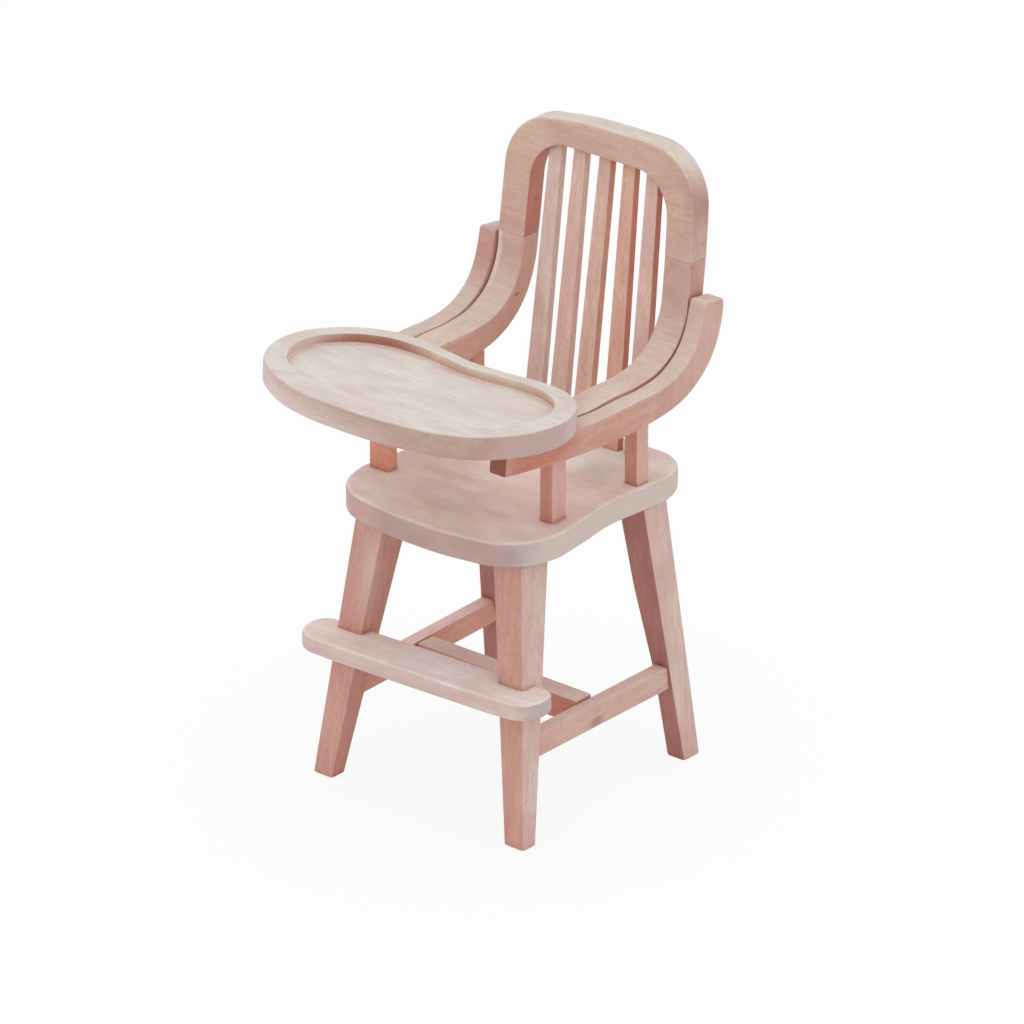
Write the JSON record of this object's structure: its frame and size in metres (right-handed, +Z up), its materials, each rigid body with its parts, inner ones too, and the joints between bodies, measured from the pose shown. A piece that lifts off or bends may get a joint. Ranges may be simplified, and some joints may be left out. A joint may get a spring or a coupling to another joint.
{
  "type": "dollhouse high chair",
  "caption": "Small wooden high chair for a doll, with splayed legs, footrest, slatted bent-top back and a rimmed tray on two arms that swings up and over the back.",
  "frame": {"origin": "centre of the bounding box's bottom, on the plane of the feet", "axes": "+Z up, -Y towards the tray and the front, +X to the right of someone who faces the front"},
  "size_m": [0.052, 0.0633, 0.0972],
  "materials": {
    "seat": "bare beech, fine sanded",
    "footrest": "bare beech, fine sanded",
    "front_leg_left": "bare beech, fine sanded",
    "rear_leg_left": "bare beech, fine sanded",
    "side_stretcher_left": "bare beech, fine sanded",
    "front_leg_right": "bare beech, fine sanded",
    "rear_leg_right": "bare beech, fine sanded",
    "side_stretcher_right": "bare beech, fine sanded",
    "cross_stretcher": "bare beech, fine sanded",
    "back_arch": "bare beech, fine sanded",
    "arm_rail_left": "bare beech, fine sanded",
    "arm_rail_right": "bare beech, fine sanded",
    "slat_1": "bare beech, fine sanded",
    "slat_2": "bare beech, fine sanded",
    "slat_3": "bare beech, fine sanded",
    "slat_4": "bare beech, fine sanded",
    "slat_5": "bare beech, fine sanded",
    "front_post_left": "bare beech, fine sanded",
    "front_post_right": "bare beech, fine sanded",
    "rear_post_left": "bare beech, fine sanded",
    "rear_post_right": "bare beech, fine sanded",
    "splice_dowel_left": "bare beech, fine sanded",
    "splice_dowel_right": "bare beech, fine sanded",
    "tray": "bare beech, fine sanded",
    "tray_arm_left": "bare beech, fine sanded",
    "tray_arm_right": "bare beech, fine sanded",
    "hinge_pin_left": "drawn wire",
    "hinge_pin_right": "drawn wire"
  },
  "bodies": {
    "chair": {"seat": "seat", "footrest": "footrest", "front_leg_left": "front_leg_left", "rear_leg_left": "rear_leg_left", "side_stretcher_left": "side_stretcher_left", "front_leg_right": "front_leg_right", "rear_leg_right": "rear_leg_right", "side_stretcher_right": "side_stretcher_right", "cross_stretcher": "cross_stretcher", "back_arch": "back_arch", "arm_rail_left": "arm_rail_left", "arm_rail_right": "arm_rail_right", "slat_1": "slat_1", "slat_2": "slat_2", "slat_3": "slat_3", "slat_4": "slat_4", "slat_5": "slat_5", "front_post_left": "front_post_left", "front_post_right": "front_post_right", "rear_post_left": "rear_post_left", "rear_post_right": "rear_post_right", "splice_dowel_left": "splice_dowel_left", "splice_dowel_right": "splice_dowel_right"},
    "tray_swing": {"tray": "tray", "tray_arm_left": "tray_arm_left", "tray_arm_right": "tray_arm_right", "hinge_pin_left": "hinge_pin_left", "hinge_pin_right": "hinge_pin_right"}
  },
  "joints": [
    {"name": "tray_lift", "type": "hinge", "parent": "chair", "child": "tray_swing", "pos_m": [0, 0.0271, 0.0734], "axis": [-1, 0, 0], "range_deg": [0, 272]}
  ]
}
